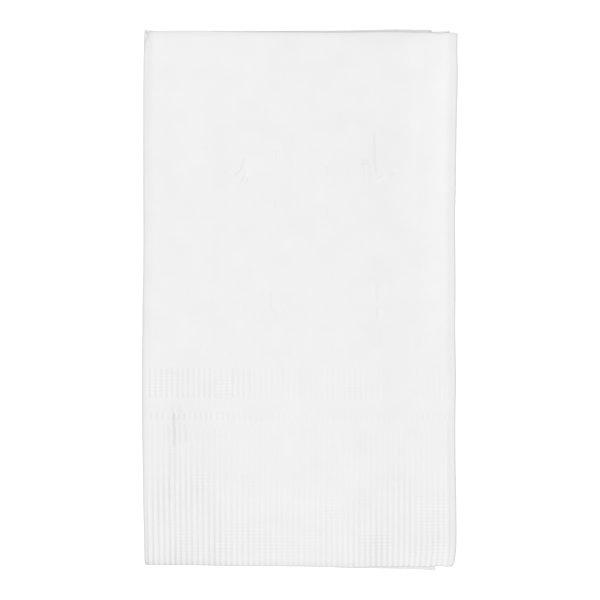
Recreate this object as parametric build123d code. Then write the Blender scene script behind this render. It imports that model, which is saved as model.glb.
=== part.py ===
from build123d import *
from math import pi, radians, tan
import os

# The flat sheet of two-ply tissue: its width is halved by the first fold, and its length is
# quartered by the next two. The thickness is that of both plies, as they lie in the napkin.
sheet_width = 380.0
sheet_length = 435.6
sheet_thickness = 0.22

# Air left between the two leaves of the first fold, and between the turns of the strip
leaf_gap = 0.16
strip_gap = 0.30

# How far the first fold missed the middle of the sheet, which leaves the inner leaf shorter
crease_slip = 0.5

# Outside width that the strip was folded to, and how far its middle missed the fold
folded_width = 111.9
middle_slip = -1.25

# Each fold was made a little out of square, in degrees anticlockwise as the front is seen:
# the front panel, the two upright folds, and the cut edge against the first fold
front_turn = -0.36
left_fold_tilt = 0.0
right_fold_tilt = -0.14
cut_edge_skew = 0.17

# The back leaf's lower corner hangs out below the rest, by a drop that fades over a run
tail_run = 58.0
tail_drop = 2.1

# The pressed border follows the cut edges in three rows of ribs, square to the edge
rib_pitch = 2.0
rib_groove_width = 1.2
rib_depth = 0.12
rib_free_margin = 2.4
mitre_gap = 0.6
edge_row_height = 50.0
dotted_row_gap = 1.7
dotted_row_height = 3.6
inner_row_gap = 4.3
inner_row_height = 11.4

# The strip's section: half its thickness, the distance between turns, and the leaf below the crease
half_strip = sheet_thickness + leaf_gap / 2
turn_pitch = 2 * sheet_thickness + leaf_gap + strip_gap
leaf_height = sheet_width / 2 + crease_slip - pi / 4 * (leaf_gap + sheet_thickness)

# Radii of the strip's middle line round a tight fold and round the one that wraps it
tight_radius = turn_pitch / 2
wide_radius = tight_radius + turn_pitch

# Widths between fold lines, and from the left fold line to the strip's two cut ends
panel_width = folded_width - tight_radius - wide_radius - 2 * half_strip
half_length = sheet_length / 2
back_width = half_length + middle_slip - panel_width - pi * (tight_radius / 2 + wide_radius)
inner_width = half_length - middle_slip - panel_width - pi * (tight_radius / 2 + tight_radius)
strip_start = -panel_width - back_width
strip_stop = panel_width + inner_width


def edge_at(place, skew):
    """Height of a leaf's cut edge at a place along the strip."""
    return -leaf_height / 2 + place * tan(radians(skew))


def crease():
    """The first fold: half a ring along the top of the strip."""
    ring = Circle(half_strip) - Circle(leaf_gap / 2)
    upper = Pos(X=half_strip) * Rectangle(2 * half_strip, 2 * half_strip)
    bend = extrude(Plane.YZ * (ring & upper), strip_stop - strip_start)
    return Pos(strip_start, leaf_height / 2) * bend


def leaf(bottom, skew, rise, drop):
    """One leaf of the strip, from the crease to its cut edge, with a corner that may hang lower."""
    tail_end = strip_start + tail_run
    outline = Polygon(
        (strip_start, leaf_height / 2),
        (strip_start, edge_at(strip_start, skew) + rise - drop),
        (tail_end, edge_at(tail_end, skew) + rise),
        (strip_stop, edge_at(strip_stop, skew) + rise),
        (strip_stop, leaf_height / 2),
        align=None,
    )
    return Pos(Z=bottom) * extrude(outline, sheet_thickness)


def comb(count, length):
    """Cutter for a row of grooves: teeth that point down, side by side along X, and run along Y."""
    lift = rib_depth * (rib_pitch - rib_groove_width) / rib_groove_width
    teeth = [(0, lift)]
    for tooth in range(count):
        teeth.append(((tooth + 1 / 2) * rib_pitch, -rib_depth))
        teeth.append(((tooth + 1) * rib_pitch, lift))
    back = [(count * rib_pitch, lift + rib_depth), (0, lift + rib_depth)]
    return extrude(Plane.XZ * Polygon(*teeth, *back, align=None), -length)


def clipped(cutter, *corners):
    """The part of a cutter that stands over an outline."""
    depth = rib_depth * rib_pitch / rib_groove_width
    return cutter & extrude(Polygon(*corners, align=None), 2 * depth, both=True)


def rib_rows():
    """How far each row of ribs starts and stops from the cut edge; the first runs off the edge."""
    dotted_start = edge_row_height + dotted_row_gap
    inner_start = dotted_start + dotted_row_height + inner_row_gap
    return [
        (-2 * tail_drop - rib_pitch, edge_row_height),
        (dotted_start, dotted_start + dotted_row_height),
        (inner_start, inner_start + inner_row_height),
    ]


def front_ribs():
    """Grooves along the front panel's lower edge, in the frame of the strip's lower cut corner."""
    count = int((panel_width - 2 * rib_free_margin) / rib_pitch)
    first = back_width + (panel_width - count * rib_pitch) / 2
    return [Pos(first, start) * comb(count, stop - start) for start, stop in rib_rows()]


def back_ribs():
    """Grooves along the back panel's lower edge and its cut end, mitred at their corner."""
    rows = []
    across = back_width - rib_free_margin
    upward = leaf_height - rib_free_margin
    for start, stop in rib_rows():
        count = int((across - start) / rib_pitch)
        low = Pos(across - count * rib_pitch, start) * comb(count, stop - start)
        low_corners = [(start + mitre_gap, start), (across, start), (across, stop), (stop + mitre_gap, stop)]
        rows.append(clipped(low, *low_corners))
        count = int((upward - start) / rib_pitch)
        side = Pos(start, upward) * Rot(Z=-90) * comb(count, stop - start)
        side_corners = [(start, start + mitre_gap), (stop, stop + mitre_gap), (stop, upward), (start, upward)]
        rows.append(clipped(side, *side_corners))
    return rows


def strip():
    """The sheet after its first fold, with the border pressed into what will be front and back."""
    outer = leaf(leaf_gap / 2, cut_edge_skew, 0, tail_drop)
    inner = leaf(-half_strip, -cut_edge_skew, 2 * crease_slip, 0)
    corner = Pos(strip_start, edge_at(strip_start, cut_edge_skew), half_strip) * Rot(Z=cut_edge_skew)
    outer -= [corner * cutter for cutter in front_ribs() + back_ribs()]
    return crease() + outer + inner


def upright(place, tilt):
    """Plane that stands on a fold line and faces right."""
    return Plane((place, 0, 0), z_dir=(1, tan(radians(tilt)), 0))


def fold_axis(place, tilt, depth):
    """Axis that the strip bends round at a fold line."""
    return Axis((place, 0, -depth), (-tan(radians(tilt)), 1, 0))


def napkin():
    """The strip folded in half, then in half again round itself, with its bends."""
    left_plane = upright(-panel_width, left_fold_tilt)
    right_plane = upright(0, right_fold_tilt)
    left_axis = fold_axis(-panel_width, left_fold_tilt, wide_radius)
    right_axis = fold_axis(0, right_fold_tilt, tight_radius)

    laid = Rot(Z=front_turn) * strip()
    doubled = laid.rotate(right_axis, 180)
    panels = []
    bends = []
    for layer in (laid, doubled):
        kept = split(layer, bisect_by=left_plane, keep=Keep.TOP)
        kept = split(kept, bisect_by=right_plane, keep=Keep.BOTTOM)
        panels.append(kept)
        bends.append(revolve(section(kept, left_plane), left_axis, -180))
        panels.append(split(layer.rotate(left_axis, 180), bisect_by=left_plane, keep=Keep.TOP))
    bends.append(revolve(section(panels[0], right_plane), right_axis, 180))

    first, *others = panels + bends
    folded = first + others
    box = folded.bounding_box()
    return Pos(-box.center().X, -box.center().Y, -box.min.Z) * folded


os.makedirs("parts", exist_ok=True)
export_step(napkin(), "parts/napkin.step")
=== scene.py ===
import math

import bpy
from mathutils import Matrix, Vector, noise
from mathutils.geometry import delaunay_2d_cdt


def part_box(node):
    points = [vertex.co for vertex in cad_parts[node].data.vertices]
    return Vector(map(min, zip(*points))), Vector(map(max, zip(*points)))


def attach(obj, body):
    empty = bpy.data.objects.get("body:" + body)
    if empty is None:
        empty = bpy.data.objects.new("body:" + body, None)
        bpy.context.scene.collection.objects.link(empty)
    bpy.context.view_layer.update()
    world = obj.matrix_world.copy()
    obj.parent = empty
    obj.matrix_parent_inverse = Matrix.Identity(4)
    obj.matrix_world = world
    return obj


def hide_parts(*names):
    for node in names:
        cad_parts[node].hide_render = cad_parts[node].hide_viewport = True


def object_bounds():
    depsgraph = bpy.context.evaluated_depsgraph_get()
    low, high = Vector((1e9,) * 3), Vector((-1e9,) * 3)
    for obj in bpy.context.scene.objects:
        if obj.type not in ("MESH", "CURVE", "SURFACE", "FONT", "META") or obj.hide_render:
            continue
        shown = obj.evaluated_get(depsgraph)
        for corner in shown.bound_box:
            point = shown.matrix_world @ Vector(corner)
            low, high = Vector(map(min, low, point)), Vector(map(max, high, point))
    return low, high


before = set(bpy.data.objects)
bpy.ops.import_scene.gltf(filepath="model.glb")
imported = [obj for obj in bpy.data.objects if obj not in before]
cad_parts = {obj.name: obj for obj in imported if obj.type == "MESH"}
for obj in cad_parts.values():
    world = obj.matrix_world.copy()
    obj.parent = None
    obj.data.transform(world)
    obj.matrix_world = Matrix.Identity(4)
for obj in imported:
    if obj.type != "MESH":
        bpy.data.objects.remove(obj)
cad_low, cad_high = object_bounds()
mm = 0.001
in_mm = 1 / mm

# The cut sheet.
# Two plies of white tissue that lie as one, cut to a rectangle off the roll. It is laid out here
# flat, as one mesh with rows of points where a fold or a pressed rib will bend it.
sheet_width = 380.0 * mm
sheet_length = 435.6 * mm
sheet_thickness = 0.22 * mm
leaf_gap = 0.16 * mm
strip_gap = 0.30 * mm
crease_slip = 0.5 * mm
folded_width = 111.9 * mm
middle_slip = -1.25 * mm
tail_run = 58.0 * mm
tail_drop = 2.1 * mm
cut_edge_skew = math.radians(0.17)
front_turn = math.radians(-0.36)
left_fold_tilt = math.radians(0.0)
right_fold_tilt = math.radians(-0.14)

crease_radius = (sheet_thickness + leaf_gap) / 2
half_strip = sheet_thickness + leaf_gap / 2
turn_pitch = 2 * sheet_thickness + leaf_gap + strip_gap
tight_radius = turn_pitch / 2
wide_radius = tight_radius + turn_pitch
leaf_height = sheet_width / 2 + crease_slip - math.pi / 2 * crease_radius
panel_width = folded_width - tight_radius - wide_radius - 2 * half_strip
tight_arc = math.pi * tight_radius
wide_arc = math.pi * wide_radius
crease_arc = math.pi * crease_radius

# Places along the flat sheet, from the left: the back panel's cut end, the back, front, second
# and last panels between the bends, and the last panel's cut end
front_stop = 0.0
front_start = -panel_width
back_stop = front_start - wide_arc
back_start = -sheet_length / 2 - middle_slip + tight_arc / 2
second_start = tight_arc
second_stop = second_start + panel_width
last_start = second_stop + tight_arc
last_stop = back_start + sheet_length

# Places across it: the outer leaf hangs from the crease, and the inner leaf goes on above
outer_top = leaf_height / 2
inner_top = outer_top + crease_arc

# The pressed border: three rows of ribs, each from one distance to another from the cut edge
rib_pitch = 2.0 * mm
rib_rows = [(0.0, 50.0 * mm), (51.7 * mm, 55.3 * mm), (59.6 * mm, 71.0 * mm)]
rib_free_margin = 2.6 * mm
front_free_margin = 0.6 * mm
mitre_gap = 0.4 * mm
hidden_rib_reach = 9.0 * mm
row_ease = 0.7 * mm
side_ease = 0.5 * mm
mitre_ease = 1.0 * mm
shortest_rib = 2.0 * mm


def outer_edge(place):
    """Where the outer leaf's cut edge lies across the sheet, at a place along it."""
    own = -leaf_height / 2 + place * math.tan(cut_edge_skew)
    return own - tail_drop * max(0.0, 1 - (place - back_start) / tail_run)


def inner_edge(place):
    """Where the inner leaf's cut edge lies across the sheet, at a place along it."""
    return inner_top + leaf_height - 2 * crease_slip + place * math.tan(cut_edge_skew)


def steps(start, stop, size):
    """Evenly spaced values from start to stop, no further apart than size."""
    count = max(1, math.ceil((stop - start) / size))
    return [start + (stop - start) * i / count for i in range(count + 1)]


def row_samples(start, stop, spacing):
    """Distances from the cut edge at which a rib's lines have points, close at both ends of its row."""
    if start == 0.0:
        return steps(row_ease, stop - row_ease, spacing) + [stop]
    return [start] + steps(start + row_ease, stop - row_ease, spacing) + [stop]


def rib_lines(start, stop, per_rib):
    """Places along an edge of the lines that shape its ribs, whole ribs centred between start and stop."""
    count = int((stop - start) / rib_pitch)
    first = (start + stop - count * rib_pitch) / 2
    return [first + i * rib_pitch / per_rib for i in range(count * per_rib + 1)]


class FlatSheet:
    """The points and lines by which the flat sheet is cut into triangles."""

    def __init__(self):
        self.points = []
        self.lines = []

    def line(self, places):
        """Adds a chain of points that no triangle crosses, and gives their numbers."""
        first = len(self.points)
        self.points.extend(Vector(p) for p in places)
        self.lines.extend((i, i + 1) for i in range(first, len(self.points) - 1))
        return list(range(first, len(self.points)))

    def triangles(self, outline):
        """The points and triangles inside the outline, without the ends of lines that leave it."""
        inside_only = 1
        closest = 1e-8
        points, _, faces, *_ = delaunay_2d_cdt(self.points, self.lines, [outline], inside_only, closest)
        used = sorted({i for face in faces for i in face})
        place = {i: number for number, i in enumerate(used)}
        return [points[i] for i in used], [[place[i] for i in face] for face in faces]


front_lines = rib_lines(front_start + front_free_margin, front_stop - front_free_margin, per_rib=6)
behind_front_lines = rib_lines(front_start + rib_free_margin, front_stop - rib_free_margin, per_rib=3)
back_low_lines = rib_lines(back_start + mitre_gap, back_stop - rib_free_margin, per_rib=4)
second_lines = rib_lines(second_start + rib_free_margin, second_stop - rib_free_margin, per_rib=4)
last_lines = rib_lines(last_start + rib_free_margin, last_stop - mitre_gap, per_rib=4)
corner = outer_edge(back_start)
side_lines = rib_lines(corner + mitre_gap, outer_top - rib_free_margin, per_rib=4)

flat = FlatSheet()


def between(place, marks):
    """A value at a place, between those given for places in marks."""
    for (start, first), (stop, last) in zip(marks, marks[1:]):
        if place < stop * mm:
            share = max(0.0, (place / mm - start) / (stop - start))
            return first + (last - first) * share * share * (3 - 2 * share)
    return marks[-1][1]


# The paper stretched a little under the rollers, so the ribs that show on the front are not quite
# evenly spaced: how far right of their places they lie, in millimetres, row by row
rib_slips = [
    [(-108, 0.85), (-97, 0.56), (-76, 0.86), (-60, 0.89), (-33, 0.5), (-4, 0.46)],
    [(-106, 0.5), (-76, -0.55), (-54, -0.68), (-33, -1.0), (-4, -1.0)],
    [(-108, 0.05), (-83, -0.97), (-58, -1.07), (-40, -1.34), (-4, -1.25)],
]


def slip_at(place, distance):
    """How far the front's ribs have slipped along the panel, at a distance from the cut edge."""
    row = (distance > rib_rows[0][1]) + (distance > rib_rows[1][1])
    return between(place, rib_slips[row]) * mm


# Ribs along the outer leaf's lower edge: whole on the front panel, mitred on the back one, and
# only near the edge on the two panels inside the stack. On the front, points lie closest in the
# short middle row, and in the first row beside the left fold, where the paper is puckered.
front_rib_start = front_start + 1.2 * mm
front_rib_stop = front_stop - 0.55 * mm
front_spacings = [4.2 * mm, 0.6 * mm, 4.2 * mm]
puckered_spacing = 1.4 * mm
puckered_stop = -94.0 * mm
back_spacing = 5.0 * mm
edge_rib_places = []
for even_place in front_lines:
    for (start, stop), spacing in zip(rib_rows, front_spacings):
        place = even_place + slip_at(even_place, stop)
        if not front_rib_start < place < front_rib_stop:
            continue
        if start == 0.0:
            edge_rib_places.append(place)
            spacing = puckered_spacing if place < puckered_stop else spacing
        flat.line([(place, outer_edge(place) + d) for d in row_samples(start, stop, spacing)])
for place in back_low_lines:
    mitre = place - back_start - mitre_gap
    for start, stop in rib_rows:
        if mitre > start + shortest_rib:
            samples = row_samples(start, min(stop, mitre), back_spacing)
            flat.line([(place, outer_edge(place) + d) for d in samples])
hidden_samples = row_samples(0.0, hidden_rib_reach, 3.0 * mm)
for place in second_lines + last_lines:
    flat.line([(place, outer_edge(place) + d) for d in hidden_samples])
    flat.line([(place, inner_edge(place) - d) for d in hidden_samples])
for place in behind_front_lines + back_low_lines:
    flat.line([(place, inner_edge(place) - d) for d in hidden_samples])

# The mitre, which rises at 45 degrees from the sheet's corner, and the ribs along the back panel's
# cut end, which stop a little before it
rows_stop = rib_rows[-1][1] + mm
from_corner = steps(mitre_gap, rows_stop, 1.2 * mm)
flat.line([(back_start + d, outer_edge(back_start + d) + d) for d in from_corner])
for across in side_lines:
    mitre_place = across - corner + back_start
    mitre = across - outer_edge(mitre_place) - mitre_gap
    for start, stop in rib_rows:
        if mitre > start + shortest_rib:
            samples = row_samples(start, min(stop, mitre), back_spacing)
            flat.line([(back_start + d, across) for d in samples])

# Lines in the bends of the folds, with a few more beside them where the paper eases into the bend,
# which stay off the ribs. A line that leans on the outer leaf leans the other way on the inner one,
# past the crease.
ease_close = [away * mm for away in (0.5, 1.1, 1.8)]
ease_beside = [away * mm for away in (2.7, 3.7, 5.0, 6.5, 8.3, 10.4)]
beyond = 2.0 * mm
bend_spacing = 3.6 * mm
crease_middle = (outer_top + inner_top) / 2
off_hidden_ribs = hidden_rib_reach + mm


def bend_line(place, lean, off_outer=-beyond, off_inner=-beyond):
    """A line along an upright fold: place at mid height, its lean, and how far it stays off both edges."""
    outer = steps(outer_edge(place) + off_outer, crease_middle, bend_spacing)
    inner = steps(crease_middle, inner_edge(place) - off_inner, bend_spacing)[1:]
    slope = math.tan(lean)
    flat.line([(place - y * slope, y) for y in outer]
              + [(place - (2 * crease_middle - y) * slope, y) for y in inner])


# Each upright fold: where its bend starts and stops, how many strips it is cut into, and its lean
folds = [
    (back_stop, front_start, 14, left_fold_tilt - front_turn),
    (front_stop, second_start, 8, right_fold_tilt - front_turn),
    (second_stop, last_start, 8, 2 * right_fold_tilt - front_turn - left_fold_tilt),
]
for start, stop, count, lean in folds:
    for i in range(count + 1):
        bend_line(start + (stop - start) * i / count, lean)
    for away in ease_close:
        off_ribs = rows_stop if away > ease_close[0] else -beyond
        bend_line(start - away, lean, off_ribs if start == front_stop else -beyond)
        bend_line(stop + away, lean, off_ribs if stop == front_start else -beyond)
    for away in ease_beside:
        bend_line(start - away, lean, rows_stop if start <= 0 else off_hidden_ribs, off_hidden_ribs)
        bend_line(stop + away, lean, rows_stop if stop < 0 else off_hidden_ribs, off_hidden_ribs)
crease_places = steps(back_start - beyond, last_stop + beyond, bend_spacing)
for across in steps(outer_top, inner_top, crease_arc / 6):
    flat.line([(x, across) for x in crease_places])
for away in ease_close + ease_beside[:2]:
    for across in (outer_top - away, inner_top + away):
        flat.line([(x, across) for x in crease_places])

# Small creases and puckers from handling, on the front panel: how sharp each is, its half width and
# its line, with place and across in millimetres. The few below 0 stand up, and the others are sunk.
creases = [
    (7, 0.3, [(-75.5, 49.6), (-75.9, 46.9)]),
    (8, 0.34, [(-76, 46.6), (-78.2, 44.5)]),
    (6, 0.34, [(-75.2, 45.6), (-75.3, 43.6), (-76, 42.6)]),
    (5, 0.34, [(-73.9, 43.5), (-74.5, 41.9)]),
    (-3.5, 0.45, [(-74, 46), (-74.1, 44)]),
    (5, 0.34, [(-64.1, 52.6), (-64, 50.1)]),
    (8, 0.38, [(-28.9, 58.4), (-28.7, 54.2), (-28.6, 50)]),
    (5, 0.38, [(-28.7, 49.6), (-28.4, 45.8)]),
    (6, 0.4, [(-33.4, 48.1), (-32.3, 48.8)]),
    (4.5, 0.34, [(-32.7, 47.5), (-32.6, 44.1)]),
    (3.5, 0.34, [(-33.3, 49.8), (-31.1, 49.6), (-31, 47.9)]),
    (4, 0.3, [(-30.6, 48.1), (-30.5, 41.5)]),
    (5, 0.36, [(-28.1, 43.2), (-26.8, 43.8)]),
    (-4, 0.55, [(-27.5, 42.6), (-26.8, 42.9)]),
    (5, 0.4, [(-22.6, 44.9), (-21.8, 45.1)]),
    (-3, 0.5, [(-21.3, 46.1), (-21.1, 45.8)]),
    (5, 0.36, [(-65.4, 1.4), (-65.6, -1), (-65.3, -3.7)]),
    (4, 0.34, [(-64.3, -3.4), (-64, -4.5)]),
    (4, 0.36, [(-27.7, 4.3), (-27.7, 1.1)]),
    (6, 0.4, [(-27.7, -2.9), (-27.6, -6.1)]),
    (-2.5, 0.5, [(-28.9, 4), (-28.9, 1.4)]),
    (-2.5, 0.5, [(-26.5, -3.9), (-25.4, -5.2)]),
    (4, 0.36, [(-45.9, 47.1), (-45.9, 44.1)]),
    (3.5, 0.34, [(-64, 35.5), (-64, 33)]),
    (3.5, 0.34, [(-45.8, 32.8), (-45.8, 29.9)]),
    (3, 0.34, [(-75.4, -1.4), (-74.5, -4.6)]),
    (17, 0.5, [(-99.5, -41.2), (-99.5, -44.6), (-99.2, -47.9), (-99.4, -52.1)]),
    (7, 0.4, [(-101.2, -44.6), (-101.1, -50.8)]),
    (10, 0.4, [(-98.5, -43.2), (-97.5, -41.9)]),
    (9, 0.36, [(-96.3, -42.9), (-96, -41.5)]),
    (6, 0.5, [(-97.5, -43.9), (-97.3, -51)]),
    (6, 0.45, [(-95.5, -44.6), (-95.2, -50.6)]),
    (6, 0.5, [(-100, -40), (-98.7, -39.4), (-96.9, -40.4)]),
    (5, 0.6, [(-100.9, -52.4), (-100.7, -61), (-101, -71.8)]),
    (4, 0.6, [(-99, -53.1), (-98.7, -64.7)]),
]


crease_reach = 3.5
longest_crease = 40


def creased(place, across):
    """How sharply the front is creased at a point, within a few half widths of a crease."""
    if not front_start < place < front_stop or across > outer_top:
        return 0.0
    point = Vector((place / mm, across / mm))
    sharp = 0.0
    for strength, half_width, line in creases:
        if abs(across / mm - line[0][1]) > longest_crease:
            continue
        away = math.inf
        for start, stop in zip(line, line[1:]):
            run = Vector(stop) - Vector(start)
            share = min(1.0, max(0.0, (point - Vector(start)).dot(run) / run.length_squared))
            away = min(away, (point - Vector(start) - run * share).length / half_width)
        if away < crease_reach:
            felt = strength * math.exp(-away * away)
            sharp = felt if abs(felt) > abs(sharp) else sharp
    return sharp


def ribbed(place, across):
    """Whether a point lies among the close lines of the ribs."""
    room = 1.2 * mm
    low = across - outer_edge(place)
    high = inner_edge(place) - across
    if min(low, high) < hidden_rib_reach + room:
        return True
    if across > outer_top or place > front_stop:
        return False
    reach = rib_rows[-1][1] + room
    return low < reach or place - back_start < reach and place < back_stop


# Close points along the creases, where they aren't among the ribs: rows this many half widths away
# from each, with a point every so many millimetres, and one at most in a small square
crease_rows = (-2.2, -1.4, -0.7, 0, 0.7, 1.4, 2.2)
crease_step = 0.5
crease_square = 0.22
taken = set()
near_crease = set()
for _, half_width, line in creases:
    for start, stop in zip(line, line[1:]):
        run = Vector(stop) - Vector(start)
        beside = Vector((-run.y, run.x)).normalized() * half_width
        for share in steps(0, 1, crease_step / run.length):
            for away in crease_rows:
                point = Vector(start) + run * share + beside * away
                cell = (round(point.x / crease_square), round(point.y / crease_square))
                if cell not in taken and not ribbed(point.x * mm, point.y * mm):
                    flat.points.append(point * mm)
                    taken.add(cell)
                    near_crease.add((round(point.x), round(point.y)))

# The outline, with a point at each rib line that runs off the edge
low_places = sorted(back_low_lines + edge_rib_places + second_lines + last_lines + [back_start + tail_run])
high_places = sorted(back_low_lines + behind_front_lines + second_lines + last_lines)
end_spacing = 4.0 * mm
outline = [(back_start, corner)]
outline += [(x, outer_edge(x)) for x in low_places]
outline += [(last_stop, y) for y in steps(outer_edge(last_stop), inner_edge(last_stop), end_spacing)]
outline += [(x, inner_edge(x)) for x in reversed(high_places)]
past_crease = outer_top + 5 * mm
above_ribs = steps(past_crease, inner_edge(back_start), end_spacing)
outline += [(back_start, y) for y in reversed(side_lines + above_ribs)]
outline = flat.line(outline)
flat.lines.append((outline[-1], outline[0]))


def on_bend(place, across):
    """Whether a point lies among the close lines of a fold."""
    room = ease_beside[-1] + 1.5 * mm
    if any(start - room < place < stop + room for start, stop, _, _ in folds):
        return True
    return outer_top - room < across < inner_top + room


# Plain paper between them: staggered points, closest on the front panel, which shows
for start, stop, size in (
    (back_start, back_stop, 5.0 * mm),
    (front_start, front_stop, 3.0 * mm),
    (second_start, last_stop, 6.0 * mm),
):
    for row, across in enumerate(steps(outer_edge(0) + size, inner_edge(0) - size, size)):
        for place in steps(start + size, stop - size, size):
            place += size / 4 * (1 if row % 2 else -1)
            cell = (round(place / mm), round(across / mm))
            if cell not in near_crease and not ribbed(place, across) and not on_bend(place, across):
                flat.points.append(Vector((place, across)))

points, faces = flat.triangles(outline)


def window(value, start, stop, ease):
    """1 between start and stop, falling to 0 at them over a distance, but not at a start of 0."""
    rise = 1.0 if start == 0.0 else min(1.0, max(0.0, (value - start) / ease))
    return rise * min(1.0, max(0.0, (stop - value) / ease))


# The rows have flattened unevenly under a hand. Each list says, at places along the front panel, how
# deep a row still is, in rib depths, and the first how far up from the edge its depth holds.
edge_row_reach = [
    (-110, 27), (-98, 37), (-84, 32), (-70, 26), (-54, 26), (-40, 20), (-32, 22), (-20, 31), (-6, 30),
    (0, 28),
]
edge_row_left = [
    (-110, 3.1), (-90, 3.0), (-70, 1.9), (-58, 1.45), (-42, 1.6), (-30, 2.7), (-20, 3.0), (-10, 2.3),
    (0, 1.6),
]
dotted_row_left = [(-110, 1.2), (-98, 1.3), (-84, 1.8), (-74, 0.8), (-34, 0.5), (-20, 0.5), (0, 0.8)]
inner_row_left = [
    (-110, 1.9), (-78, 1.85), (-68, 0.6), (-56, 0.5), (-48, 0.4), (-41, 0.8), (-28, 0.7), (-22, 0.2),
    (-12, 0.2), (-5, 0.6), (0, 0.6),
]

# At that reach the first row fades, over a run in millimetres, to the least share of it that is left
fading_run = 14
least_left = 0.17


def depth_left(place, distance):
    """How deep the front panel's ribs still are at a place, and at a distance from the edge."""
    if distance > rib_rows[2][0]:
        return between(place, inner_row_left)
    if distance > rib_rows[1][0]:
        return between(place, dotted_row_left)
    fading = (between(place, edge_row_reach) - distance / mm) / fading_run + 0.5
    fading = min(1.0, max(0.0, fading))
    return between(place, edge_row_left) * (least_left + (1 - least_left) * fading)


def row_weight(distance, rows):
    """How fully the rollers press at a distance from the cut edge."""
    return max(window(distance, start, stop, row_ease) for start, stop in rows)


def uneven(place, across, amount, wide, tall, layer):
    """A smooth variation about 1, in patches that are so many millimetres wide and tall."""
    return 1 + amount * noise.noise(Vector((place / mm / wide, across / mm / tall, layer)))


def pressing(place, across):
    """Ribs counted along the nearest edge, distance from that edge, and how hard it is pressed.

    The last is below 0 where the ribs are raised instead of sunk, as seen from the outer side.
    """
    low = across - outer_edge(place)
    high = inner_edge(place) - across
    near_side = place - back_start
    outer = across < crease_middle
    distance = low if outer else high
    slip = 0.0
    rows = [(0.0, hidden_rib_reach)]
    if place < back_stop:
        lines = back_low_lines
        sunk = outer
    elif place < front_stop + tight_arc / 2:
        lines = front_lines if outer else behind_front_lines
        slip = slip_at(place, distance) if outer else 0.0
        sunk = outer
    elif place < second_stop + tight_arc / 2:
        lines = second_lines
        sunk = not outer
    else:
        lines = last_lines
        sunk = not outer
    if outer and place < front_stop:
        rows = rib_rows
        if place < back_stop and near_side < low:
            lines = side_lines
            distance = near_side
            weight = row_weight(distance, rows) * window(across, lines[0], lines[-1], side_ease)
            weight *= min(1.0, (low - near_side) / mitre_ease)
            return (across - lines[0]) / rib_pitch, distance, weight
    weight = row_weight(distance, rows) * window(place, lines[0] - mm, lines[-1] + mm, mm)
    if outer and place < back_stop:
        weight *= min(1.0, (near_side - low) / mitre_ease)
    elif outer and place < front_stop:
        weight *= depth_left(place, distance)
        weight *= uneven(place, across, amount=0.45, wide=6, tall=19, layer=0)
        weight *= uneven(place, across, amount=0.30, wide=1.9, tall=40, layer=7)
    return (place - slip - lines[0]) / rib_pitch, distance, weight if sunk else -weight


# The sheet itself, with the creases already sunk into it. It keeps, for each point, how the border
# is pressed, how high the front's ribs stand up between their grooves, and how sharp a crease is.
crease_depth = 0.012
deepest_crease = 0.14
crown_share = 0.6
sheet_mesh = bpy.data.meshes.new("napkin_flat")
sharpness = [creased(place, across) for place, across in points]
sunk = [min(deepest_crease, crease_depth * sharp) * mm for sharp in sharpness]
sheet_mesh.from_pydata([(x, y, crease_radius - down) for (x, y), down in zip(points, sunk)], [], faces)
flat_map = sheet_mesh.uv_layers.new(name="flat")
for loop in sheet_mesh.loops:
    flat_map.uv[loop.index].vector = points[loop.vertex_index]
pressed = [pressing(place, across) for place, across in points]
border = sheet_mesh.attributes.new("border", "FLOAT_VECTOR", "POINT")
border.data.foreach_set("vector", [value for values in pressed for value in values])
crowns = []
for (place, across), (_, _, weight) in zip(points, pressed):
    on_front = front_start < place < front_stop and across < outer_top
    crowns.append(crown_share * weight if on_front else 0.0)
crown = sheet_mesh.attributes.new("crown", "FLOAT", "POINT")
crown.data.foreach_set("value", crowns)
handled = sheet_mesh.attributes.new("handled", "FLOAT", "POINT")
handled.data.foreach_set("value", sharpness)
napkin = bpy.data.objects.new("napkin_sheet", sheet_mesh)
bpy.context.collection.objects.link(napkin)

# The folds.
# The sheet is folded in half across its width, then in half along the strip and in half again
# round that, by hand, so each fold leans a little. Nodes bend it, one fold after another.


def pick(sockets, key):
    """A node's socket, by its number or by its name as the node shows it."""
    if isinstance(key, int):
        return sockets[key]
    return next(socket for socket in sockets if socket.name == key and socket.enabled)


class Wire:
    """What comes out of a node. Sums and products of it add Math nodes to the same tree."""

    def __init__(self, tree, socket):
        self.tree = tree
        self.socket = socket

    def out(self, name):
        """Another output of the same node."""
        return Wire(self.tree, pick(self.socket.node.outputs, name))

    def parts(self):
        """The x, y and z of a vector."""
        x = self.tree.add("ShaderNodeSeparateXYZ", None, {0: self})
        return x, x.out("Y"), x.out("Z")

    def maths(self, operation, *others):
        """The result of a Math node on this value and on any others that follow it."""
        return self.tree.maths(operation, self, *others)

    def at_least(self, other):
        """The higher of this value and another."""
        return self.maths("MAXIMUM", other)

    def eased(self, start, stop):
        """0 up to start and 1 from stop, with a smooth rise between them."""
        return self.tree.add(
            "ShaderNodeMapRange",
            {"interpolation_type": "SMOOTHSTEP"},
            {"Value": self, "From Min": start, "From Max": stop},
        )

    def __add__(self, other):
        return self.maths("ADD", other)

    def __radd__(self, other):
        return self.tree.maths("ADD", other, self)

    def __sub__(self, other):
        return self.maths("SUBTRACT", other)

    def __rsub__(self, other):
        return self.tree.maths("SUBTRACT", other, self)

    def __mul__(self, other):
        return self.maths("MULTIPLY", other)

    def __rmul__(self, other):
        return self.tree.maths("MULTIPLY", other, self)

    def __truediv__(self, other):
        return self.maths("DIVIDE", other)

    def __gt__(self, other):
        return self.maths("GREATER_THAN", other)


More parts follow.
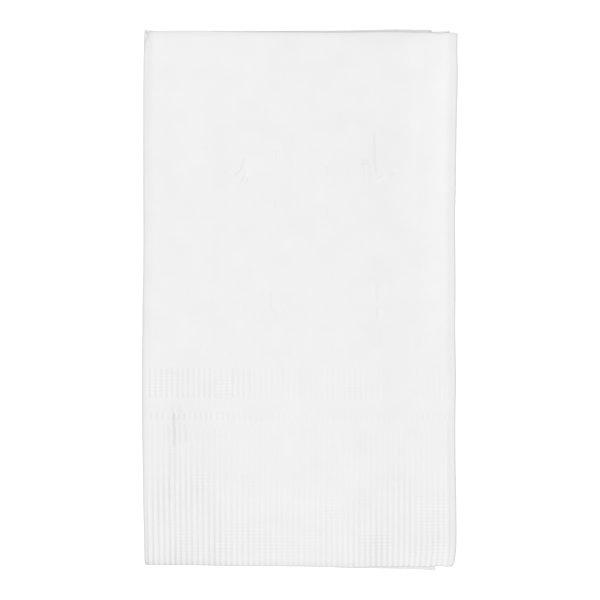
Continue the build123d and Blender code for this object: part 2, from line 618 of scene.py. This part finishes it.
class Tree:
    """A node tree that is being written."""

    def __init__(self, nodes):
        self.nodes = nodes

    def add(self, kind, settings=None, inputs=None, output=0):
        """Adds a node of any type, sets it, joins or fills its sockets, and gives one output."""
        node = self.nodes.nodes.new(kind)
        for name, value in (settings or {}).items():
            if name == "curve":
                points = node.mapping.curves[0].points
                points[0].location, points[1].location = value[0], value[-1]
                for place in value[1:-1]:
                    points.new(*place)
                node.mapping.update()
            elif name == "stops":
                ramp = node.color_ramp
                for _ in value[2:]:
                    ramp.elements.new(0.5)
                for element, (place, colour) in zip(ramp.elements, value):
                    element.position, element.color = place, colour
            else:
                setattr(node, name, value)
        for name, value in (inputs or {}).items():
            socket = pick(node.inputs, name)
            if isinstance(value, Wire):
                self.nodes.links.new(value.socket, socket)
            else:
                socket.default_value = value
        return Wire(self, pick(node.outputs, output)) if len(node.outputs) else None

    def maths(self, operation, *values):
        """The result of a Math node on some values."""
        return self.add("ShaderNodeMath", {"operation": operation}, dict(enumerate(values)))


def geometry_tree(name, sockets):
    """A Geometry Nodes tree with named inputs, each given as (name, kind, value)."""
    nodes = bpy.data.node_groups.new(name, "GeometryNodeTree")
    nodes.interface.new_socket("Geometry", in_out="OUTPUT", socket_type="NodeSocketGeometry")
    nodes.interface.new_socket("Geometry", in_out="INPUT", socket_type="NodeSocketGeometry")
    for label, kind, value in sockets:
        socket = nodes.interface.new_socket(label, in_out="INPUT", socket_type="NodeSocket" + kind)
        socket.default_value = value
    return Tree(nodes)


def place_of(tree):
    """Each point's x, y and z where a tree has got to."""
    return tree.add("GeometryNodeInputPosition").parts()


def moved(tree, geometry, x, y, z):
    """The geometry with its points at new places."""
    to = tree.add("ShaderNodeCombineXYZ", None, {"X": x, "Y": y, "Z": z})
    return tree.add("GeometryNodeSetPosition", None, {"Geometry": geometry, "Position": to})


# Half a turn at most, round a line in the sheet's plane that leans. Points short of the line stay,
# those just past it go round it, and the rest end up flat again, upside down and below.
bend = geometry_tree("bend", [
    ("Fold Line", "Vector", (0, 0, 0)),
    ("Lean", "Float", 0.0),
    ("Radius", "Float", mm),
    ("Side", "Float", 1.0),
])
given = bend.add("NodeGroupInput")
line_x, line_y, line_z = given.out("Fold Line").parts()
side = given.out("Side")
lean_cos = given.out("Lean").maths("COSINE")
lean_sin = given.out("Lean").maths("SINE")
x, y, z = place_of(bend)
past = ((x - line_x) * lean_cos + (y - line_y) * lean_sin) * side
level = (y - line_y) * lean_cos - (x - line_x) * lean_sin
above = z - line_z
turn = (past / given.out("Radius")).at_least(0.0)
turn = turn.maths("MINIMUM", math.pi)
turn_cos = turn.maths("COSINE")
turn_sin = turn.maths("SINE")
straight = past - turn * given.out("Radius")
across_line = (straight * turn_cos + above * turn_sin) * side
bent = moved(
    bend, given,
    across_line * lean_cos - level * lean_sin + line_x,
    across_line * lean_sin + level * lean_cos + line_y,
    above * turn_cos - straight * turn_sin + line_z,
)
bend.add("NodeGroupOutput", None, {"Geometry": bent})


def bent_at(tree, geometry, line, lean, radius, side):
    """The geometry bent half a turn down round a fold line."""
    return tree.add(
        "GeometryNodeGroup",
        {"node_tree": bend.nodes},
        {"Geometry": geometry, "Fold Line": line, "Lean": lean, "Radius": radius, "Side": side},
    )


low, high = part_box("napkin")
folding = geometry_tree("press_and_fold", [
    ("Rib Depth", "Float", 0.12 * mm),
    ("Front Turn", "Float", front_turn),
    ("Right Tilt", "Float", right_fold_tilt),
    ("Left Tilt", "Float", left_fold_tilt),
    ("Looseness", "Float", 0.05),
    ("Low Corner", "Vector", (0, 0, 0)),
    ("High Corner", "Vector", (0, 0, 0)),
    ("Paper", "Material", None),
])
given = folding.add("NodeGroupInput")
border_place = folding.add(
    "GeometryNodeInputNamedAttribute", {"data_type": "FLOAT_VECTOR"}, {"Name": "border"}
)
rib, _, weight = border_place.parts()
wave = (rib * math.tau).maths("COSINE")
x, y, z = place_of(folding)
crown_height = folding.add("GeometryNodeInputNamedAttribute", {"data_type": "FLOAT"}, {"Name": "crown"})
sink = weight * (1 - wave) / 2 - crown_height
sheet = moved(folding, given, x, y, z - given.out("Rib Depth") * sink)
sheet = bent_at(folding, sheet, (0, outer_top, 0), math.pi / 2, crease_radius, 1.0)
turned = folding.add("ShaderNodeCombineXYZ", None, {"Z": given.out("Front Turn")})
sheet = folding.add("GeometryNodeTransform", None, {"Geometry": sheet, "Rotation": turned})
sheet = bent_at(folding, sheet, (0, 0, -tight_radius), given.out("Right Tilt"), tight_radius, 1.0)
x, y, z = place_of(folding)
radius = tight_radius + (wide_radius - tight_radius) * (z > -tight_radius)
sheet = bent_at(folding, sheet, (-panel_width, 0, -wide_radius), given.out("Left Tilt"), radius, -1.0)

# Laid where the CAD solid is: its box is half a thickness outside the sheet's middle surface,
# except at the lower edge, which is cut
box_low = folding.add("GeometryNodeBoundBox", None, {"Geometry": sheet}, "Min")
low_x, _, low_z = box_low.parts()
high_x, high_y, _ = box_low.out("Max").parts()
cad_low_x, cad_low_y, cad_low_z = given.out("Low Corner").parts()
cad_high_x, cad_high_y, _ = given.out("High Corner").parts()
x, y, z = place_of(folding)
sheet = moved(
    folding, sheet,
    x + (cad_low_x + cad_high_x - low_x - high_x) / 2,
    y + cad_high_y - sheet_thickness / 2 - high_y,
    z + cad_low_z + sheet_thickness / 2 - low_z,
)

# Pressed down by its own weight and by the hand that folded it: flatter along the folds and the
# edges, and lower on the right, where the back panel stops short. From here to the last move,
# lengths are in millimetres. The last panel lies on the back one, with the two others above it.
x, y, z = [value * in_mm for value in place_of(folding)]
from_left = x - cad_low_x * in_mm
from_right = cad_high_x * in_mm - x
from_top = cad_high_y * in_mm - y
from_foot = y - cad_low_y * in_mm
above_back = z > 0.75
above_last = z > 1.65
sag_start = 51.7
least_kept = 0.6


def kept_near(from_side, lost, width):
    """The share of its height that the stack keeps near a side, where it lost some over a width."""
    near = (1 - from_side / width).at_least(0)
    return 1 - lost * near * near


right_kept = 0.94 + 0.06 * from_right.eased(5.0, 12.5)
kept = kept_near(from_left, lost=0.32, width=3.9) * right_kept
kept = kept * kept_near(from_top, lost=0.34, width=3.3) * kept_near(from_foot, lost=0.32, width=3.8)
kept = kept.at_least(least_kept)
sagging = (x - sag_start).at_least(0)
near_top_right = 1 - 0.35 * y.eased(55, 92)
drop = 0.26 * sagging * sagging.eased(0, 2.6) * near_top_right + 0.1 * x.eased(46.5, 51)
drop = drop * above_back
pinch = 0.3 * from_left.eased(0, 1.2) * (1 - from_left.eased(1.9, 9.0))
loose = folding.add(
    "ShaderNodeTexNoise", {"noise_dimensions": "2D"},
    {"Vector": folding.add("GeometryNodeInputPosition"), "Scale": 45.0, "Detail": 1.0},
)
lift = 1 + given.out("Looseness") * (loose - 0.5) * 2


# The edges aren't straight. A curve node runs from 0 to 1 both ways, which stands for this reach to
# either side of the middle along an edge, and for a bow of up to 2 mm to either side of it.
curve_reach = 100
curve_width = 2 * curve_reach
curve_height = 4


def bowed(along, marks):
    """How far an edge has bowed, given at places along it, both in millimetres."""
    marks = [(-curve_reach, marks[0][1]), *marks, (curve_reach, marks[-1][1])]
    curve = [((place + curve_reach) / curve_width, 0.5 + bow / curve_height) for place, bow in marks]
    share = along.maths("MULTIPLY_ADD", 1 / curve_width, 0.5)
    return (folding.add("ShaderNodeFloatCurve", {"curve": curve}, {"Value": share}) - 0.5) * curve_height


left_bow = bowed(y, [
    (-96, 0.45), (-86, 0.31), (-70, -0.05), (-59, -0.2), (-43, -0.39), (-27, -0.53), (-14, -0.3),
    (0, -0.24), (11, 0.02), (54, 0.02), (75, 0.04), (86, 0.13), (96, 0.35),
])
right_bow = bowed(y, [
    (-96, -0.5), (-92, -0.12), (-86, 0.28), (-71, 0.14), (-57, -0.14), (-48, -0.22), (-39, -0.2),
    (-29, 0.0), (-19, -0.2), (-9, -0.36), (3, -0.26), (18, -0.4), (29, -0.55), (39, -0.3), (48, -0.21),
    (67, 0.05), (82, 0.3), (90, 0.1), (96, 0.3),
])
foot_rise = bowed(x, [
    (-56, 0.36), (-51, 0.36), (-39, 0.34), (-25, 0.08), (-10, 0.06), (4, -0.05), (18, -0.32), (29, -0.1),
    (43, 0.0), (48, -0.13), (56, -0.1),
])
top_rise = bowed(x, [
    (-56, 0.0), (-50, 0.07), (-36, 0.24), (-22, 0.06), (0, 0.04), (12, 0.03), (25, 0.23), (34, 0.34),
    (43, 0.16), (46, 0.2), (48, -0.06), (52, 0.18), (54, 0.25), (56, 0.1),
])
bow = left_bow * (1 - from_left.eased(2, 45)) + right_bow * (1 - from_right.eased(2, 30)) * above_back
rise = foot_rise * (1 - from_foot.eased(2, 30)) + top_rise * (1 - from_top.eased(2, 30))


def rounding(from_side, from_end, wide, tall, upper):
    """How far the upper layers draw in at a corner, along the end and along the side, to round it."""
    across = (1 - from_side / wide).at_least(0)
    along = (1 - from_end / tall).at_least(0)
    above_nothing = 1e-6
    reach = (across * across + along * along + above_nothing).maths("SQRT")
    drawn = (1 - across.at_least(along) / reach) * upper
    drawn = drawn * (across > 0) * (along > 0)
    return across * drawn * wide, along * drawn * tall


# The upper layers' corners are rounded. The lower layers stick out past them at the upper left, the
# last panel reaches higher towards its right end, and so does the foot over the back's cut end.
above_fold = z.eased(1.6, 2.9)
off_back = z.eased(0.4, 2.3)
top_left = rounding(from_left, from_top - 0.3, wide=3.4, tall=5.4, upper=above_fold)
top_right = rounding(from_right, from_top - 0.9, wide=0.8, tall=0.8, upper=off_back)
foot_right = rounding(from_right, from_foot - 0.6, wide=1.8, tall=2.4, upper=off_back)
foot_left = rounding(from_left, from_foot - 1.6, wide=1.0, tall=1.0, upper=off_back)
last_rise = x.eased(-30, 48) * y.eased(0, 90) * above_back * (1 - above_last)
back_corner = 0.7 * (1 - z.eased(1.2, 1.9)) * (1 - from_left.eased(0, 6)) * (1 - from_top.eased(0, 14))
front_foot = 0.36 * (z > 0.9) * x.eased(45.5, 49.5) * (1 - x.eased(50, 56)) * (1 - from_foot.eased(2, 20))
x = x - pinch + bow + top_left[0] + foot_left[0] - top_right[0] - foot_right[0]
y = y + rise + last_rise + back_corner + front_foot
y = y - top_left[1] - top_right[1] + foot_right[1] + foot_left[1]
sheet = moved(folding, sheet, x / in_mm, y / in_mm, (z * kept * lift - drop) / in_mm)
sheet = folding.add("GeometryNodeSetShadeSmooth", None, {"Geometry": sheet})
sheet = folding.add("GeometryNodeRealizeInstances", None, {"Geometry": sheet})
sheet = folding.add("GeometryNodeSetMaterial", None, {"Geometry": sheet, "Material": given.out("Paper")})
folding.add("NodeGroupOutput", None, {"Geometry": sheet})

# The tissue.
# Soft white crepe tissue, unprinted, with a matt face of short fibres. It is made on a crepe
# roller, and steel rollers press the border into it.
tissue = bpy.data.materials.new("tissue")
tissue.use_nodes = True
tissue.node_tree.nodes.clear()
paper = Tree(tissue.node_tree)
flat_place = paper.add("ShaderNodeUVMap", {"uv_map": "flat"})
fibres = paper.add(
    "ShaderNodeTexNoise", None,
    {"Vector": flat_place, "Scale": 1500.0, "Detail": 3.0, "Roughness": 0.6},
)
cloud = paper.add("ShaderNodeTexNoise", None, {"Vector": flat_place, "Scale": 90.0, "Detail": 2.0})
tone = fibres * 0.25 + cloud * 0.75
colour = paper.add(
    "ShaderNodeValToRGB",
    {"stops": [(0.3, (0.857, 0.857, 0.857, 1)), (0.7, (0.884, 0.884, 0.884, 1))]},
    {"Fac": tone},
)
drawn_out = paper.add("ShaderNodeMapping", None, {"Vector": flat_place, "Scale": (900, 70, 1)})
crepe = paper.add("ShaderNodeTexNoise", None, {"Vector": drawn_out, "Scale": 1.0, "Detail": 2.0})

# The rollers' own marks: a fine knurl along the ribs, which took in patches, and the grooves
knurl_pitch = 1.25 * mm
border_place = paper.add("ShaderNodeAttribute", {"attribute_name": "border"}, None, "Vector")
rib, from_edge, weight = border_place.parts()
weight = weight.maths("ABSOLUTE")
beading = paper.add("ShaderNodeTexNoise", None, {"Vector": flat_place, "Scale": 75.0, "Detail": 1.0})
knurl = (from_edge * (math.tau / knurl_pitch)).maths("COSINE") * weight
knurl = knurl * beading.eased(0.5, 0.68)
height = fibres * 0.5 + crepe * 0.5 + knurl * 0.25
groove = (1 - (rib * math.tau).maths("COSINE")) / 2
groove = weight * groove * groove

# Painted light and shade stand in for the shading of the folded layers: the front is painted
# lighter over the end of a leaf and along a fold, and darker beside them. Each amount is a share of
# its brightness, and each range is of place along the flat sheet or across it, in millimetres.
place, across, _ = [value * in_mm for value in flat_place.parts()]


def strip_at(middle, half_width):
    """1 along the middle of an upright strip of the front, fading to 0 at its sides."""
    return 1 - (place - middle).maths("ABSOLUTE").eased(0, half_width)


# Painted light over the back panel's cut end, along the right fold and in the upper left part
over_end = place.eased(-13, -4.2) * (1 - place.eased(-3.7, -0.6))
upper_left = 1 - place.eased(-85, -55)
painted_light = 0.042 * over_end * across.eased(-85, 80) + 0.026 * strip_at(-14, 7) * across.eased(10, 70)
painted_light = painted_light + 0.01 * strip_at(-8, 5) * across.eased(-45, -5)
painted_light = painted_light + strip_at(-1.6, 3) * (0.012 - 0.01 * across.eased(50, 80))
painted_light = painted_light + upper_left * (0.007 * across.eased(35, 70) + 0.005 * across.eased(76, 90))
painted_light = painted_light + 0.02 * strip_at(-1.8, 2.5) * (1 - across.eased(-92, -80))

# Painted light on the bend of the left fold near the top, and on the layer that shows at its corner
fold_side = place.eased(-122, -118) * (1 - place.eased(-111.0, -110.3)) * across.eased(35, 75)
painted_light = painted_light + fold_side * (0.06 - 0.03 * across.eased(88, 92))
painted_light = painted_light + 0.03 * place.eased(100, 105) * across.eased(92, 94.5)

# Painted shade along the rim of the left fold, and painted light where the rim turns down into its side
over_side = (1 - place.eased(-110.6, -109.5)) * (1 - across.eased(86, 93))
beside_ribs = 1 - across.eased(-80, -35)
rim = (1 - 0.8 * beside_ribs) * 0.022 * (1 - place.eased(-109.3, -106.6))
rim = rim + 0.03 * across.eased(30, 80) * (1 - place.eased(-109.0, -108.0))
rim = rim - (0.044 + 0.02 * beside_ribs) * over_side

# Painted shade under the top edge, at the foot, in the lower left part and left of the cut end
under_ends = 0.014 * across.eased(88.5, 93.5) * strip_at(-28, 18)
under_ends = under_ends + 0.05 * (1 - from_edge.eased(0.3 * mm, 2.8 * mm)) * (1 - place.eased(-48, -22))
low_left = strip_at(-92, 18) * (1 - across.eased(-45, -5))
painted_shade = 0.01 * strip_at(-26, 15) * (1 - across.eased(50, 82)) + 0.006 * (1 - across.eased(-94, -80))
painted_shade = painted_shade + 0.016 * low_left + 0.011 * (1 - place.eased(-106, -94)) * (1 - across.eased(-80, -55))
painted_shade = painted_shade + 0.032 * strip_at(-15, 12) * across.eased(89, 94)
painted_shade = painted_shade + rim + under_ends

# Painted shade in the grooves, against a painted highlight on the crests between them, most at the
# foot and beside the left fold. Painted shade also darkens the knurl and the creases, and faint
# streaks of tone run up the whole sheet. The crests' painted highlight lifts them above plain paper, by a
# share of what the grooves lose.
crest_share = 0.24
by_foot = (1.4 - 0.4 * from_edge.eased(4 * mm, 16 * mm)) * (1.4 - 0.4 * place.eased(-104, -78))
furrow = groove - crest_share * weight
mark = paper.add("ShaderNodeAttribute", {"attribute_name": "handled"}, None, "Fac")
streak_place = paper.add("ShaderNodeMapping", None, {"Vector": flat_place, "Scale": (230, 14, 1)})
streaks = paper.add("ShaderNodeTexNoise", None, {"Vector": streak_place, "Scale": 1.0, "Detail": 2.0})
plain_level = 1.004
groove_shade = 0.028
knurl_shade = 0.008
crease_shade = 0.0085
streak_contrast = 0.014
# The paper's level: plain, plus painted light, less painted shade of the folds, edges, grooves, knurl and
# creases
level = plain_level + painted_light - painted_shade - groove_shade * furrow * by_foot
level = level - knurl_shade * knurl - crease_shade * mark + streak_contrast * (streaks - 0.5)
colour = paper.add("ShaderNodeVectorMath", {"operation": "SCALE"}, {0: colour, "Scale": level})
grain = paper.add("ShaderNodeBump", None, {"Strength": 0.3, "Distance": 0.05 * mm, "Height": height})
shader = paper.add(
    "ShaderNodeBsdfPrincipled", None,
    {"Base Color": colour, "Roughness": 0.95, "Specular IOR Level": 0.12, "Normal": grain},
)
paper.add("ShaderNodeOutputMaterial", None, {"Surface": shader})

# Folded and given its thickness, as one mesh
modifier = napkin.modifiers.new("press_and_fold", "NODES")
modifier.node_group = folding.nodes
values = {"Low Corner": low, "High Corner": high, "Paper": tissue}
for socket in folding.nodes.interface.items_tree:
    if socket.in_out == "INPUT" and socket.name in values:
        modifier[socket.identifier] = values[socket.name]
ply = napkin.modifiers.new("ply", "SOLIDIFY")
ply.thickness = sheet_thickness
ply.offset = 0.0

bpy.context.view_layer.update()
depsgraph = bpy.context.evaluated_depsgraph_get()
folded = bpy.data.meshes.new_from_object(
    napkin.evaluated_get(depsgraph), preserve_all_data_layers=True, depsgraph=depsgraph
)
napkin.modifiers.clear()
napkin.data = folded
folded.name = "napkin_sheet"

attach(napkin, "root")
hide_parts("napkin")

# The table, the light and the camera.
# A plain white table that the napkin lies on, a broad soft lamp high up, a little towards its
# lower left corner, and a camera that looks straight down.
floor_mesh = bpy.data.meshes.new("floor")
reach = 1.5
under = -0.1 * mm
corners = [(-reach, -reach, under), (reach, -reach, under), (reach, reach, under), (-reach, reach, under)]
floor_mesh.from_pydata(corners, [], [(0, 1, 2, 3)])
floor = bpy.data.objects.new("floor", floor_mesh)
bpy.context.collection.objects.link(floor)


def seen_rays(tree):
    """1 for rays that come from the camera, also through glass or off a gloss, and 0 for the rest."""
    ray = tree.add("ShaderNodeLightPath", None, None, "Is Camera Ray")
    return ray.at_least(ray.out("Is Glossy Ray")).at_least(ray.out("Is Transmission Ray"))


# The camera sees the table, and the sky too, brighter than they light the napkin
white = bpy.data.materials.new("table")
white.use_nodes = True
white.node_tree.nodes.clear()
table = Tree(white.node_tree)
matt = table.add("ShaderNodeBsdfDiffuse", None, {"Color": (0.5, 0.5, 0.5, 1)})
bright = table.add("ShaderNodeBsdfDiffuse", None, {"Color": (0.4, 0.4, 0.4, 1)})
glow = table.add("ShaderNodeEmission", None, {"Color": (1, 1, 1, 1), "Strength": 0.74})
shown = table.add("ShaderNodeAddShader", None, {0: bright, 1: glow})
surface = table.add("ShaderNodeMixShader", None, {"Fac": seen_rays(table), 1: matt, 2: shown})
table.add("ShaderNodeOutputMaterial", None, {"Surface": surface})
floor_mesh.materials.append(white)

world = bpy.data.worlds.new("studio")
world.use_nodes = True
world.node_tree.nodes.clear()
sky = Tree(world.node_tree)
ambient = 0.585
strength = ambient + (1 - ambient) * seen_rays(sky)
light = sky.add("ShaderNodeBackground", None, {"Color": (1, 1, 1, 1), "Strength": strength})
sky.add("ShaderNodeOutputWorld", None, {"Surface": light})
bpy.context.scene.world = world

lamp = bpy.data.lights.new("soft_lamp", "AREA")
lamp.shape = "SQUARE"
lamp.size = 1.9
lamp.energy = 72.5
lamp_object = bpy.data.objects.new("soft_lamp", lamp)
bpy.context.collection.objects.link(lamp_object)
lamp_tilt = math.radians(12)
lamp_bearing = math.radians(-125)
lamp_away = 4.0
lamp_side = Vector((
    math.sin(lamp_tilt) * math.cos(lamp_bearing),
    math.sin(lamp_tilt) * math.sin(lamp_bearing),
    math.cos(lamp_tilt),
))
lamp_object.location = lamp_side * lamp_away
lamp_object.rotation_euler = lamp_side.to_track_quat("Z", "Y").to_euler()
lamp_object.visible_camera = False

camera = bpy.data.cameras.new("camera")
camera.lens = 140.0
camera.sensor_width = 36.0
view_width = 214.0 * mm
camera_object = bpy.data.objects.new("camera", camera)
bpy.context.collection.objects.link(camera_object)
camera_object.location = (0, 0, cad_high[2] + view_width * camera.lens / camera.sensor_width)
camera.clip_start = 0.01
bpy.context.scene.camera = camera_object

scene = bpy.context.scene
scene.view_settings.view_transform = "Standard"
